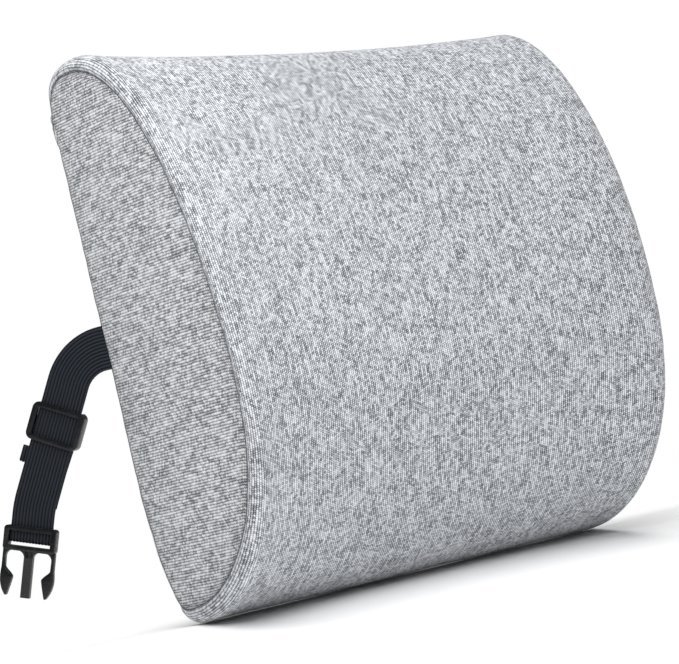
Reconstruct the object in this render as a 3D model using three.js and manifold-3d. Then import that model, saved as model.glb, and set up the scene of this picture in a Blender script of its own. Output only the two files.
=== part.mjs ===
// Lumbar support cushion: a D-profile foam core in a zipped fabric cover, with one elastic
// strap sewn into each rear side seam. The left strap has a slider and the male half of a
// side-release buckle, and the right strap has the female half.
//
// Millimetres, +Z up. The front faces -Y and the back panel lies on y = 0. The origin is the
// centre of the flat part of the back panel.

import * as THREE from 'three';
import { mergeVertices } from 'three/addons/utils/BufferGeometryUtils.js';
import Module from 'manifold-3d';

const wasm = await Module();
wasm.setup();

// ---- Driving dimensions ------------------------------------------------------------------

// Cushion, in side view: depth runs forward from the back panel, height up from the bottom.
const WIDTH = 340;
const HEIGHT = 328;
const DEPTH = 118;
const BELLY_HEIGHT = 123; // height of the deepest point
const TOP_CORNER = 25; // radius of the rear top corner
const HEEL_DEPTH = 21; // depth of the rounded rear bottom corner
const HEEL_HEIGHT = 81; // height of the rounded rear bottom corner
const EDGE_RADIUS = 9; // rounding of the front panel towards each side seam
const HOLLOW = 22; // how far the middle of the front sits behind its sides
const TOP_DIP = 5; // how far the middle of the top sits below its ends
const FLARE = 4.6; // how much each side leans out, from mid-height to the top
const SEAM_DROP = 3; // how far the back panel's top seam lies below the rounded top corner

const COVER = 1.5; // thickness of the cover fabric with its backing
const GAP = 0.3; // clearance between pieces that touch

// Zipper, along the rear bottom corner.
const ZIP_ANGLE = THREE.MathUtils.degToRad(25); // place on the corner, from straight down
const ZIP_LENGTH = 290;
const COIL_WIDTH = 2.2;
const COIL_HEIGHT = 1.4;
const TAPE_WIDTH = 11;
const TAPE = 0.7;
const TAPE_SINK = 9; // how far in from the zipper the curved tapes reach
const SLIDER_LENGTH = 11;
const SLIDER_PLATE = 1.2;
const SLIDER_WALL = 1.1;
const PULL_LENGTH = 21;
const PULL_WIDTH = 6;
const PULL_THICKNESS = 1.2;

// Elastic straps. Distances along a strap are measured from its seam.
const WEBBING_WIDTH = 25;
const WEBBING = 1.1;
const STRAP_HEIGHT = HEIGHT / 2; // height of both strap seams above the bottom
const LEFT_SPLAY = THREE.MathUtils.degToRad(55); // how far the strap points behind straight out
const RIGHT_SPLAY = THREE.MathUtils.degToRad(58);
const GLIDE_PLACE = 55.2; // tri-glide's centre
const BUCKLE_PLACE = 121.6; // bar of the male buckle
const SOCKET_PLACE = 108; // bar of the female buckle
const HEM_LENGTH = 26; // folded end of the webbing, past the part it is sewn round

// Tri-glide.
const GLIDE_WIDTH = WEBBING_WIDTH + 7;
const GLIDE_HEIGHT = 22;
const GLIDE_BAR = 3;
const GLIDE_CORNER = 4;
const WINDOW_CORNER = 1.5;
const FACE_BAR = 1.5; // thickness of a bar that lies in front of the webbing

// Side-release buckle.
const BUCKLE_WIDTH = WEBBING_WIDTH + 6.5;
const BUCKLE_FRAME = 14;
const BUCKLE_RAIL = 2.6;
const BUCKLE_CORNER = 2;
const BAR_RADIUS = 1.1;
const STEM_WIDTH = 5.2;
const STEM_LENGTH = 26.5;
const PRONG_ARM = 1.7;
const PRONG_LENGTH = 26;
const PRONG_HEAD = 16;
const PRONG_HEAD_WIDTH = 7;
const PRONG_TIP = 3.9; // how far the tip lies inside the prong's outer edge
const PRONG_THICKNESS = 3.4;
const SOCKET_WIDTH = WEBBING_WIDTH + 10;
const SOCKET_LENGTH = 27;
const SOCKET_THICKNESS = 9;
const SOCKET_WALL = 1.5;

// ---- Colours -----------------------------------------------------------------------------

const cover = (color) => new THREE.MeshStandardMaterial({ color, roughness: 0.95, metalness: 0 });
const paint = {
  front: cover(0xbfc2c4),
  side: cover(0xa8aaac),
  back: cover(0x9b9da0),
  foam: new THREE.MeshStandardMaterial({ color: 0xf2eee2, roughness: 0.9, metalness: 0 }),
  tape: new THREE.MeshStandardMaterial({ color: 0x8f9194, roughness: 0.9, metalness: 0 }),
  coil: new THREE.MeshStandardMaterial({ color: 0x7f8285, roughness: 0.5, metalness: 0 }),
  metal: new THREE.MeshStandardMaterial({ color: 0x9a9c9e, roughness: 0.3, metalness: 1 }),
  webbing: new THREE.MeshStandardMaterial({ color: 0x1b1e24, roughness: 0.85, metalness: 0 }),
  plastic: new THREE.MeshStandardMaterial({ color: 0x17191d, roughness: 0.4, metalness: 0 }),
};

// ---- Solids ------------------------------------------------------------------------------

const SLIVER = 0.01; // edges shorter than this are closed up after a cut

// A closed geometry as a solid that can be joined and cut.
function solid(geometry) {
  const plain = geometry.clone();
  plain.deleteAttribute('normal');
  plain.deleteAttribute('uv');
  const merged = mergeVertices(plain, 1e-4);
  return new wasm.Manifold(new wasm.Mesh({
    numProp: 3,
    vertProperties: new Float32Array(merged.attributes.position.array),
    triVerts: new Uint32Array(merged.index.array),
  }));
}

// The reverse: a solid as a geometry with flat-shaded faces, without slivers.
function geometryOf(body) {
  const mesh = body.simplify(SLIVER).getMesh();
  const indexed = new THREE.BufferGeometry();
  const positions = new Float32Array(mesh.vertProperties);
  indexed.setAttribute('position', new THREE.BufferAttribute(positions, 3));
  indexed.setIndex(new THREE.BufferAttribute(new Uint32Array(mesh.triVerts), 1));
  const flat = indexed.toNonIndexed();
  flat.computeVertexNormals();
  return flat;
}

function piece(name, shape, material) {
  const geometry = shape.isBufferGeometry ? shape : geometryOf(shape);
  const mesh = new THREE.Mesh(geometry, material);
  mesh.name = name;
  return mesh;
}

// A box between two corners.
function box(low, high) {
  const size = high.map((value, axis) => value - low[axis]);
  const geometry = new THREE.BoxGeometry(...size);
  geometry.translate(...low.map((value, axis) => value + size[axis] / 2));
  return geometry;
}

const boxSolid = (low, high) => solid(box(low, high));
const join = (bodies) => bodies.reduce((sum, body) => sum.add(body));

// ---- Cushion form ------------------------------------------------------------------------

const FLAT_HEIGHT = HEIGHT - TOP_CORNER - HEEL_HEIGHT;
const BOTTOM = -(HEEL_HEIGHT + FLAT_HEIGHT / 2); // z of the lowest point
const MIDDLE = BOTTOM + HEIGHT / 2; // z of mid-height
const CURVE_SEGMENTS = 9;
const SMALL_SEGMENTS = 5; // on the curves of the zipper's slider and the plastic hardware
const EDGE_STEPS = 3;
const MIDDLE_STEPS = 8;

// Side outline of the cushion, drawn in (depth, z) and moved inwards by inset.
function sideOutline(inset) {
  const heel = BOTTOM + HEEL_HEIGHT;
  const belly = BOTTOM + BELLY_HEIGHT;
  const corner = BOTTOM + HEIGHT - TOP_CORNER;
  const low = BOTTOM + inset;
  const shape = new THREE.Shape();
  shape.moveTo(inset, heel);
  shape.lineTo(inset, corner);
  shape.absellipse(TOP_CORNER, corner, TOP_CORNER - inset, TOP_CORNER - inset,
    Math.PI, Math.PI / 2, true);
  shape.absellipse(TOP_CORNER, belly, DEPTH - inset - TOP_CORNER, corner + TOP_CORNER - inset - belly,
    Math.PI / 2, 0, true);
  shape.absellipse(HEEL_DEPTH, belly, DEPTH - inset - HEEL_DEPTH, belly - low,
    0, -Math.PI / 2, true);
  shape.absellipse(HEEL_DEPTH, heel, HEEL_DEPTH - inset, heel - low,
    -Math.PI / 2, -Math.PI, true);
  return shape;
}

// Places across the width, close together where the front panel rounds over to the sides.
function placesAcross(halfWidth, radius) {
  const places = [];
  for (let i = 0; i < EDGE_STEPS; i += 1) {
    const turn = (i / EDGE_STEPS) * (Math.PI / 2);
    places.push(-(halfWidth - radius) - radius * Math.cos(turn));
  }
  for (let i = 0; i <= MIDDLE_STEPS; i += 1) {
    places.push((halfWidth - radius) * (2 * i / MIDDLE_STEPS - 1));
  }
  const mirrored = places.slice(0, EDGE_STEPS).reverse().map((place) => -place);
  return places.concat(mirrored);
}

// Moves a point of the plain prism onto the cushion's form: rounded towards the side seams,
// hollowed across the front, dipped along the top and flared towards the top.
function formPoint(point, roundOver) {
  const middle = 1 - (2 * point.x / WIDTH) ** 2;
  const depth = -point.y * (1 - roundOver / DEPTH);
  const rise = (point.z - MIDDLE) * (1 - roundOver / (HEIGHT / 2));
  const hollow = HOLLOW * middle * THREE.MathUtils.smoothstep(depth, HEEL_DEPTH, DEPTH);
  const dip = TOP_DIP * middle * THREE.MathUtils.smoothstep(rise, 0, HEIGHT / 2);
  const flare = FLARE * (rise / (HEIGHT / 2)) * (point.x / (WIDTH / 2));
  point.set(point.x + flare, -(depth - hollow), MIDDLE + rise - dip);
}

// A prism of an outline drawn in (depth, z), at the given places across, on the cushion's form.
// roundOver says how far the outline has closed in at a place.
function acrossCushion(shape, places, roundOver) {
  const steps = places.length - 1;
  const geometry = new THREE.ExtrudeGeometry(shape, {
    depth: steps, steps, bevelEnabled: false, curveSegments: CURVE_SEGMENTS,
  });
  const position = geometry.attributes.position;
  const point = new THREE.Vector3();
  for (let i = 0; i < position.count; i += 1) {
    const x = places[steps - Math.round(position.getZ(i))];
    point.set(x, -position.getX(i), position.getY(i));
    formPoint(point, roundOver(x));
    position.setXYZ(i, point.x, point.y, point.z);
  }
  return solid(geometry);
}

// A prism of an outline over the whole width, shrunk by inset and rounded over at its sides.
function roundedPrism(shape, inset) {
  const radius = EDGE_RADIUS - inset;
  const roundOver = (x) => {
    const past = Math.max(0, Math.abs(x) - (WIDTH / 2 - EDGE_RADIUS));
    return radius - Math.sqrt(Math.max(0, radius ** 2 - past ** 2));
  };
  return acrossCushion(shape, placesAcross(WIDTH / 2 - inset, radius), roundOver);
}

// The whole cushion, shrunk by inset.
const cushionBody = (inset) => roundedPrism(sideOutline(inset), inset);

// A side panel's slab, from x = from to x = to, grown by grow.
function sideSlab(from, to, grow) {
  return acrossCushion(sideOutline(-grow), [from, to], () => EDGE_RADIUS);
}

// ---- Zipper place ------------------------------------------------------------------------

const zipPoint = new THREE.Vector2(
  HEEL_DEPTH * (1 - Math.sin(ZIP_ANGLE)),
  BOTTOM + HEEL_HEIGHT * (1 - Math.cos(ZIP_ANGLE)),
);
const zipAlong = new THREE.Vector2( // up the rear of the cushion, in (depth, z)
  -HEEL_DEPTH * Math.cos(ZIP_ANGLE), HEEL_HEIGHT * Math.sin(ZIP_ANGLE),
).normalize();
const zipOut = new THREE.Vector2(-zipAlong.y, zipAlong.x); // away from the cushion

// The zipper's own frame: X along the chain, Y down the cover and Z away from it.
const zipper = new THREE.Group();
zipper.position.set(0, -zipPoint.x, zipPoint.y);
zipper.rotation.x = Math.atan2(-zipAlong.y, zipAlong.x);
zipper.updateMatrix();

const inCushion = (body) => body.transform(zipper.matrix.elements);
const SLOT_HALF = COIL_WIDTH + SLIDER_WALL + 3 * GAP;

// ---- Cover and foam ----------------------------------------------------------------------

// The rear region of the cover in (depth, z): from the zipper up to the rear top corner.
function backRegion(grow) {
  const reach = HEEL_DEPTH / 2;
  const seam = zipPoint.clone().addScaledVector(zipAlong, -grow);
  const outer = seam.clone().addScaledVector(zipOut, reach);
  const inner = seam.clone().addScaledVector(zipOut, -reach / 2);
  const top = BOTTOM + HEIGHT - TOP_CORNER - SEAM_DROP + grow;
  return new THREE.Shape([
    outer,
    inner,
    new THREE.Vector2(COVER + 2 * GAP, BOTTOM + HEEL_HEIGHT),
    new THREE.Vector2(COVER + 2 * GAP, top),
    new THREE.Vector2(-reach, top),
  ]);
}

const backPrism = (grow) => roundedPrism(backRegion(grow), COVER + GAP - grow);

function buildCover() {
  const shell = cushionBody(0).subtract(cushionBody(COVER));
  const rightIn = WIDTH / 2 - COVER;
  const slot = inCushion(boxSolid(
    [-ZIP_LENGTH / 2 - GAP, -SLOT_HALF, -2 * COVER],
    [ZIP_LENGTH / 2 + GAP, SLOT_HALF, 2 * COVER],
  ));
  const rightHole = sideSlab(rightIn - GAP, WIDTH / 2 + COVER, GAP);
  const leftHole = sideSlab(-WIDTH / 2 - COVER, GAP - rightIn, GAP);
  return {
    front: shell.subtract(backPrism(GAP)).subtract(rightHole).subtract(leftHole).subtract(slot),
    back: shell.intersect(backPrism(0)).subtract(slot),
    right: sideSlab(rightIn, WIDTH / 2, 0),
    left: sideSlab(-WIDTH / 2, -rightIn, 0),
  };
}

// The strip behind the slot where a zipper tape lies, from low to high across the zipper.
function tapeStrip(low, high, extra) {
  const half = ZIP_LENGTH / 2 + extra;
  return inCushion(boxSolid([-half, low, -TAPE_SINK - extra], [half, high, 0]));
}

function buildTapes() {
  const layer = cushionBody(COVER + GAP).subtract(cushionBody(COVER + GAP + TAPE));
  return {
    lower: layer.intersect(tapeStrip(GAP / 2, TAPE_WIDTH, 0)),
    upper: layer.intersect(tapeStrip(-TAPE_WIDTH, -GAP / 2, 0)),
  };
}

function buildFoam() {
  const pocket = tapeStrip(-TAPE_WIDTH - GAP, TAPE_WIDTH + GAP, GAP);
  const recess = pocket.subtract(cushionBody(COVER + TAPE + 2 * GAP));
  return cushionBody(COVER + GAP).subtract(recess);
}

// ---- Zipper hardware ---------------------------------------------------------------------

const COIL_LOW = 2 * GAP - COVER; // underside of the coils, just clear of the tapes
const COIL_TOP = COIL_LOW + COIL_HEIGHT;
const SLIDER_LOW = COIL_TOP + GAP; // underside of the slider's plate
const SLIDER_TOP = SLIDER_LOW + SLIDER_PLATE;
const CHAIN_HALF = ZIP_LENGTH / 2 - SLIDER_LENGTH / 2;

function coil(side) {
  const edges = [side * GAP / 2, side * (GAP / 2 + COIL_WIDTH)].sort((a, b) => a - b);
  const ends = CHAIN_HALF - SLIDER_LENGTH;
  return box([-ends, edges[0], COIL_LOW], [ends, edges[1], COIL_TOP]);
}

function zipStop(side) {
  const near = CHAIN_HALF - SLIDER_LENGTH + GAP;
  const ends = [side * near, side * (near + SLIDER_LENGTH / 4)].sort((a, b) => a - b);
  return box([ends[0], -COIL_WIDTH, COIL_LOW], [ends[1], COIL_WIDTH, COIL_TOP]);
}

// The slider: a rounded plate over the chain, a wall down each side and a bridge on top.
const BRIDGE_HEIGHT = 2 * PULL_THICKNESS + GAP;
const BRIDGE_LENGTH = 0.7 * SLIDER_LENGTH;
const BRIDGE_WIDTH = 1.6;
const BRIDGE_BAR = 0.9;

function zipSlider() {
  const wallIn = COIL_WIDTH + 1.5 * GAP;
  const wallOut = wallIn + SLIDER_WALL;
  const half = SLIDER_LENGTH / 2;
  const plate = new THREE.Shape();
  plate.moveTo(-half + wallOut / 2, -wallOut);
  plate.lineTo(half - wallOut / 2, -wallOut);
  plate.quadraticCurveTo(half, -wallOut, half, 0);
  plate.quadraticCurveTo(half, wallOut, half - wallOut / 2, wallOut);
  plate.lineTo(-half + wallOut / 2, wallOut);
  plate.quadraticCurveTo(-half, wallOut, -half, 0);
  plate.quadraticCurveTo(-half, -wallOut, -half + wallOut / 2, -wallOut);
  const deck = new THREE.ExtrudeGeometry(plate, {
    depth: SLIDER_PLATE, bevelEnabled: false, curveSegments: SMALL_SEGMENTS,
  });
  deck.translate(0, 0, SLIDER_LOW);
  const wallEnd = half - wallOut / 2;
  const walls = [-1, 1].map((side) => {
    const edges = [side * wallIn, side * wallOut].sort((a, b) => a - b);
    return boxSolid([-wallEnd, edges[0], COIL_LOW + GAP], [wallEnd, edges[1], SLIDER_TOP]);
  });
  const bridge = boxSolid(
    [-BRIDGE_LENGTH / 2, -BRIDGE_WIDTH / 2, SLIDER_LOW + GAP],
    [BRIDGE_LENGTH / 2, BRIDGE_WIDTH / 2, SLIDER_TOP + BRIDGE_HEIGHT],
  ).subtract(boxSolid(
    [BRIDGE_BAR - BRIDGE_LENGTH / 2, -BRIDGE_WIDTH, SLIDER_TOP],
    [BRIDGE_LENGTH / 2 - BRIDGE_BAR, BRIDGE_WIDTH, SLIDER_TOP + BRIDGE_HEIGHT - BRIDGE_BAR],
  ));
  return join([solid(deck), ...walls, bridge]);
}

// The pull tab lies along the chain, with the slider's bridge through the eye at its end.
const PULL_RADIUS = PULL_THICKNESS / 2;
const PULL_NECK = 4.8; // width at the eye

function pullTab() {
  const outline = new THREE.Shape();
  const half = PULL_WIDTH / 2;
  const eye = BRIDGE_WIDTH / 2 + GAP;
  outline.moveTo(-PULL_RADIUS, -PULL_NECK / 2);
  outline.lineTo(PULL_LENGTH - half, -half);
  outline.absarc(PULL_LENGTH - half, 0, half, -Math.PI / 2, Math.PI / 2, false);
  outline.lineTo(-PULL_RADIUS, PULL_NECK / 2);
  const hole = new THREE.Path();
  hole.moveTo(PULL_RADIUS, -eye);
  hole.lineTo(PULL_RADIUS, eye);
  hole.lineTo(SLIDER_LENGTH / 2, eye);
  hole.lineTo(SLIDER_LENGTH / 2, -eye);
  outline.holes.push(hole);
  const tab = new THREE.ExtrudeGeometry(outline, {
    depth: PULL_THICKNESS, bevelEnabled: false, curveSegments: 2 * SMALL_SEGMENTS,
  });
  tab.translate(0, 0, -PULL_THICKNESS / 2);
  return tab;
}

// ---- Straps ------------------------------------------------------------------------------

// A strap lies in an upright plane through its seam. Its own frame has X straight out from the
// seam, Z up and Y off its face. Its heading is measured from straight down.
const SEAM_HEADING = THREE.MathUtils.degToRad(90);
const HANG_HEADING = THREE.MathUtils.degToRad(29);
const END_HEADING = THREE.MathUtils.degToRad(18.5);
const TURN_RADIUS = 27.5;
const TURN_END = TURN_RADIUS * (SEAM_HEADING - HANG_HEADING);
const EASE_START = GLIDE_PLACE + HEM_LENGTH + GLIDE_HEIGHT / 2 + 5;
const EASE_END = EASE_START + GLIDE_HEIGHT / 2;
const STRAP_START = 0.6; // first point of a strap, clear of the cover
const STRAP_STEP = 1; // step of the sum along a strap
const PATH_STEP = 7; // longest step of a straight stretch

function headingAt(along) {
  const turn = SEAM_HEADING - Math.max(0, Math.min(along, TURN_END)) / TURN_RADIUS;
  const ease = THREE.MathUtils.clamp((along - EASE_START) / (EASE_END - EASE_START), 0, 1);
  return turn + ease * (END_HEADING - HANG_HEADING);
}

function placeAt(along) {
  const place = new THREE.Vector3();
  for (let done = 0; done < along; done += STRAP_STEP) {
    const step = Math.min(STRAP_STEP, along - done);
    const heading = headingAt(done + step / 2);
    place.x += step * Math.sin(heading);
    place.z -= step * Math.cos(heading);
  }
  return place;
}

// Webbing laid along a path drawn in (off the face, along the strap), on the strap's curve.
function webbing(path) {
  const steps = path.length - 1;
  const section = new THREE.Shape([
    new THREE.Vector2(-WEBBING / 2, -WEBBING_WIDTH / 2),
    new THREE.Vector2(WEBBING / 2, -WEBBING_WIDTH / 2),
    new THREE.Vector2(WEBBING / 2, WEBBING_WIDTH / 2),
    new THREE.Vector2(-WEBBING / 2, WEBBING_WIDTH / 2),
  ]);
  const geometry = new THREE.ExtrudeGeometry(section, { depth: steps, steps, bevelEnabled: false });
  const position = geometry.attributes.position;
  for (let i = 0; i < position.count; i += 1) {
    const index = Math.round(position.getZ(i));
    const before = path[Math.max(0, index - 1)];
    const after = path[Math.min(steps, index + 1)];
    const run = after.clone().sub(before).normalize();
    const off = path[index].x + position.getX(i) * run.y;
    const along = path[index].y - position.getX(i) * run.x;
    const across = position.getY(i);
    const tilt = headingAt(along);
    const place = placeAt(along);
    position.setXYZ(i, place.x + across * Math.cos(tilt), off, place.z + across * Math.sin(tilt));
  }
  return geometry;
}

// Points along a straight stretch, from one end to the other.
function stretch(off, from, to) {
  const steps = Math.max(1, Math.round(Math.abs(to - from) / PATH_STEP));
  return Array.from({ length: steps + 1 }, (_, i) => (
    new THREE.Vector2(off, from + (to - from) * i / steps)));
}

// Points round a bar, from one angle to another in the (off, along) plane.
function bend(centre, radius, from, to) {
  return Array.from({ length: CURVE_SEGMENTS + 1 }, (_, i) => {
    const angle = from + (to - from) * i / CURVE_SEGMENTS;
    return new THREE.Vector2(
      centre.x + radius * Math.cos(angle), centre.y + radius * Math.sin(angle));
  });
}

const LOOP_RADIUS = BAR_RADIUS + GAP + WEBBING / 2; // middle of the webbing round a bar
const LAYER = WEBBING + GAP; // from one layer of webbing to the next
const GLIDE_LOOP_OFF = -LAYER - LOOP_RADIUS; // centre bar of the tri-glide, off the strap's face
const HEM = GLIDE_PLACE + HEM_LENGTH; // end of the hem that is folded round the tri-glide
const GLIDE_DOWN = 12; // travel of the tri-glide towards the buckle
const LEG_OVERLAP = 8; // how far the hem's rear leg runs down past the returning layer's end
const RETURN_TOP = HEM + GLIDE_DOWN + 2 * GAP; // upper end of the returning layer
const TAIL_END = RETURN_TOP + LEG_OVERLAP; // lower end of the hem's rear leg

// From the seam, in front of the tri-glide's centre bar, round the buckle's bar and back up.
function leftStrap() {
  const middle = new THREE.Vector2(-LOOP_RADIUS, BUCKLE_PLACE);
  return webbing([
    ...stretch(0, STRAP_START, BUCKLE_PLACE - GAP),
    ...bend(middle, LOOP_RADIUS, 0, Math.PI),
    new THREE.Vector2(-2 * LOOP_RADIUS, BUCKLE_PLACE - LOOP_RADIUS),
    ...stretch(-LAYER, BUCKLE_PLACE - 4 * LOOP_RADIUS, RETURN_TOP),
  ]);
}

// The strap's sewn end: a leg behind the returning layer, a fold over the tri-glide's centre
// bar and a short hem in front of that leg.
function endLoop() {
  const middle = new THREE.Vector2(GLIDE_LOOP_OFF, GLIDE_PLACE);
  return webbing([
    ...stretch(-2 * LAYER, TAIL_END, HEM - LAYER),
    new THREE.Vector2(GLIDE_LOOP_OFF - LOOP_RADIUS, GLIDE_PLACE + 2 * LOOP_RADIUS),
    ...bend(middle, LOOP_RADIUS, Math.PI, 2 * Math.PI),
    ...stretch(-LAYER, GLIDE_PLACE + 2 * LOOP_RADIUS, HEM),
  ]);
}

const SOCKET_HEM = SOCKET_PLACE - HEM_LENGTH; // upper end of the right strap's hem

// From the seam, round the female buckle's bar and back up to its hem.
function rightStrap() {
  const middle = new THREE.Vector2(-LOOP_RADIUS, SOCKET_PLACE);
  return webbing([
    ...stretch(0, STRAP_START, SOCKET_PLACE - GAP),
    ...bend(middle, LOOP_RADIUS, 0, Math.PI),
    new THREE.Vector2(-2 * LOOP_RADIUS, SOCKET_PLACE - LOOP_RADIUS),
    ...stretch(-LAYER, SOCKET_PLACE - 4 * LOOP_RADIUS, SOCKET_HEM),
  ]);
}

// A frame on a strap, at a distance along it: X across the webbing, Y off its face, Z up it.
function onStrap(strap, along) {
  const frame = new THREE.Group();
  frame.position.copy(placeAt(along));
  frame.rotation.y = -headingAt(along);
  strap.add(frame);
  return frame;
}

// ---- Tri-glide ---------------------------------------------------------------------------

// A round bar across the webbing.
function bar(width, off, height) {
  const sides = 3 * SMALL_SEGMENTS - 1;
  const geometry = new THREE.CylinderGeometry(BAR_RADIUS, BAR_RADIUS, width, sides);
  geometry.rotateZ(Math.PI / 2);
  geometry.translate(0, off, height);
  return solid(geometry);
}

// A rounded rectangle drawn in (across, up) and standing off the webbing from low to high.
function plateXZ(width, bottom, top, radius, low, high) {
  const shape = new THREE.Shape();
  const half = width / 2;
  shape.moveTo(half - radius, bottom);
  shape.absarc(half - radius, bottom + radius, radius, -Math.PI / 2, 0, false);
  shape.absarc(half - radius, top - radius, radius, 0, Math.PI / 2, false);
  shape.absarc(-half + radius, top - radius, radius, Math.PI / 2, Math.PI, false);
  shape.absarc(-half + radius, bottom + radius, radius, Math.PI, 1.5 * Math.PI, false);
  const geometry = new THREE.ExtrudeGeometry(shape, {
    depth: high - low, bevelEnabled: false, curveSegments: SMALL_SEGMENTS,
  });
  geometry.rotateX(Math.PI / 2);
  geometry.translate(0, high, 0);
  return solid(geometry);
}

const FACE_BAR_LOW = WEBBING / 2 + GAP; // underside of a bar that lies in front of the webbing
const FACE_BAR_TOP = FACE_BAR_LOW + FACE_BAR;
const OPEN_WIDTH = WEBBING_WIDTH + 2 * GAP; // clear width for the webbing
const BAR_WIDTH = OPEN_WIDTH + 2; // a bar, with an end in each side rail

function triGlide() {
  const low = GLIDE_LOOP_OFF - BAR_RADIUS;
  const half = GLIDE_HEIGHT / 2;
  const ring = plateXZ(GLIDE_WIDTH, -half, half, GLIDE_CORNER, low, FACE_BAR_TOP);
  const windowHalf = half - GLIDE_BAR;
  const opening = plateXZ(
    OPEN_WIDTH, -windowHalf, windowHalf, WINDOW_CORNER, low - GAP, FACE_BAR_TOP + GAP,
  );
  const behindBars = boxSolid(
    [-OPEN_WIDTH / 2, low - GAP, -half - GAP], [OPEN_WIDTH / 2, FACE_BAR_LOW, half + GAP],
  );
  return ring.subtract(opening).subtract(behindBars).add(bar(BAR_WIDTH, GLIDE_LOOP_OFF, 0));
}

// ---- Male buckle -------------------------------------------------------------------------

const FRAME_LOW = -LOOP_RADIUS - BAR_RADIUS; // rear of the buckle's frame
const FRAME_MIDDLE = (FRAME_LOW + FACE_BAR_TOP) / 2;
const FRAME_HALF = BUCKLE_FRAME / 2;

// Frame with a bar in front of the webbing, a round bar inside its loop, a rail and a stem.
function maleBuckle() {
  const ring = plateXZ(
    BUCKLE_WIDTH, -FRAME_HALF, FRAME_HALF, BUCKLE_CORNER, FRAME_LOW, FACE_BAR_TOP,
  );
  const opening = boxSolid(
    [-OPEN_WIDTH / 2, FRAME_LOW - GAP, -FRAME_HALF + BUCKLE_RAIL],
    [OPEN_WIDTH / 2, FACE_BAR_TOP + GAP, FRAME_HALF - BUCKLE_RAIL],
  );
  const behindBar = boxSolid(
    [-OPEN_WIDTH / 2, FRAME_LOW - GAP, 0],
    [OPEN_WIDTH / 2, FACE_BAR_LOW, FRAME_HALF + GAP],
  );
  const stemTop = -FRAME_HALF + BUCKLE_RAIL / 2;
  const stem = boxSolid(
    [-STEM_WIDTH / 2, FRAME_MIDDLE - PRONG_THICKNESS / 2, -FRAME_HALF - STEM_LENGTH],
    [STEM_WIDTH / 2, FRAME_MIDDLE + PRONG_THICKNESS / 2, stemTop],
  );
  const webbingBar = bar(BAR_WIDTH, -LOOP_RADIUS, 0);
  return ring.subtract(opening).subtract(behindBar).add(webbingBar).add(stem);
}

// A springy arm with a barbed head. Drawn for side = 1, hanging from the frame's outer corner.
function prong(side) {
  const shape = new THREE.Shape();
  const headTop = -(PRONG_LENGTH - PRONG_HEAD);
  shape.moveTo(0, 0);
  shape.lineTo(0, headTop);
  shape.quadraticCurveTo(PRONG_ARM / 2, headTop - PRONG_HEAD / 2, -PRONG_TIP, -PRONG_LENGTH);
  shape.lineTo(PRONG_ARM - PRONG_HEAD_WIDTH, headTop - PRONG_HEAD / 3);
  shape.lineTo(-PRONG_ARM, headTop);
  shape.lineTo(-PRONG_ARM, 0);
  const geometry = new THREE.ExtrudeGeometry(shape, {
    depth: PRONG_THICKNESS, bevelEnabled: false, curveSegments: SMALL_SEGMENTS,
  });
  geometry.rotateX(Math.PI / 2);
  geometry.translate(0, PRONG_THICKNESS / 2, 0);
  if (side < 0) {
    geometry.rotateZ(Math.PI);
  }
  return geometry;
}

// ---- Female buckle -----------------------------------------------------------------------

// A socket open at its lower end and at both sides, with a bar for the webbing above it.
function femaleBuckle() {
  const middle = -LOOP_RADIUS;
  const low = middle - SOCKET_THICKNESS / 2;
  const high = middle + SOCKET_THICKNESS / 2;
  const socketTop = -(BAR_RADIUS + LOOP_RADIUS + 2 * GAP);
  const frameTop = BAR_RADIUS + BUCKLE_RAIL / 2;
  const socketBottom = socketTop - SOCKET_LENGTH;
  const cavityHalf = SOCKET_WIDTH / 2 - SOCKET_WALL;
  const body = plateXZ(SOCKET_WIDTH, socketBottom, frameTop, BUCKLE_CORNER, low, high);
  const webbingGap = boxSolid(
    [-OPEN_WIDTH / 2, low - GAP, socketTop], [OPEN_WIDTH / 2, high + GAP, frameTop + GAP],
  );
  const cavity = boxSolid(
    [-cavityHalf, low + SOCKET_WALL, socketBottom - GAP],
    [cavityHalf, high - SOCKET_WALL, socketTop - SOCKET_WALL],
  );
  const windows = boxSolid(
    [-SOCKET_WIDTH, low + SOCKET_WALL, socketBottom + SOCKET_LENGTH / 4],
    [SOCKET_WIDTH, high - SOCKET_WALL, socketTop - SOCKET_LENGTH / 4],
  );
  const webbingBar = bar(BAR_WIDTH, middle, 0);
  return body.subtract(webbingGap).subtract(cavity).subtract(windows).add(webbingBar);
}

// ---- Assembly ----------------------------------------------------------------------------

const cushion = new THREE.Group();
const panels = buildCover();
const tapes = buildTapes();

cushion.add(piece('foam_core', buildFoam(), paint.foam));
cushion.add(piece('front_panel', panels.front, paint.front));
cushion.add(piece('back_panel', panels.back, paint.back));
cushion.add(piece('left_side_panel', panels.left, paint.side));
cushion.add(piece('right_side_panel', panels.right, paint.side));
cushion.add(piece('zip_tape_lower', tapes.lower, paint.tape));
cushion.add(piece('zip_tape_upper', tapes.upper, paint.tape));

zipper.add(piece('zip_coil_lower', coil(1), paint.coil));
zipper.add(piece('zip_coil_upper', coil(-1), paint.coil));
zipper.add(piece('zip_stop_left', zipStop(-1), paint.metal));
zipper.add(piece('zip_stop_right', zipStop(1), paint.metal));

// The zipper is shown closed, with its slider at the left end of the chain.
const SLIDER_REST = -(CHAIN_HALF - 1.5 * SLIDER_LENGTH - GAP);
const slider = piece('zip_slider', zipSlider(), paint.metal);
slider.position.x = SLIDER_REST;
zipper.add(slider);

const pull = piece('zip_pull_tab', pullTab(), paint.metal);
pull.position.set(SLIDER_REST, 0, SLIDER_TOP + GAP + PULL_THICKNESS / 2);
zipper.add(pull);
cushion.add(zipper);

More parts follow.
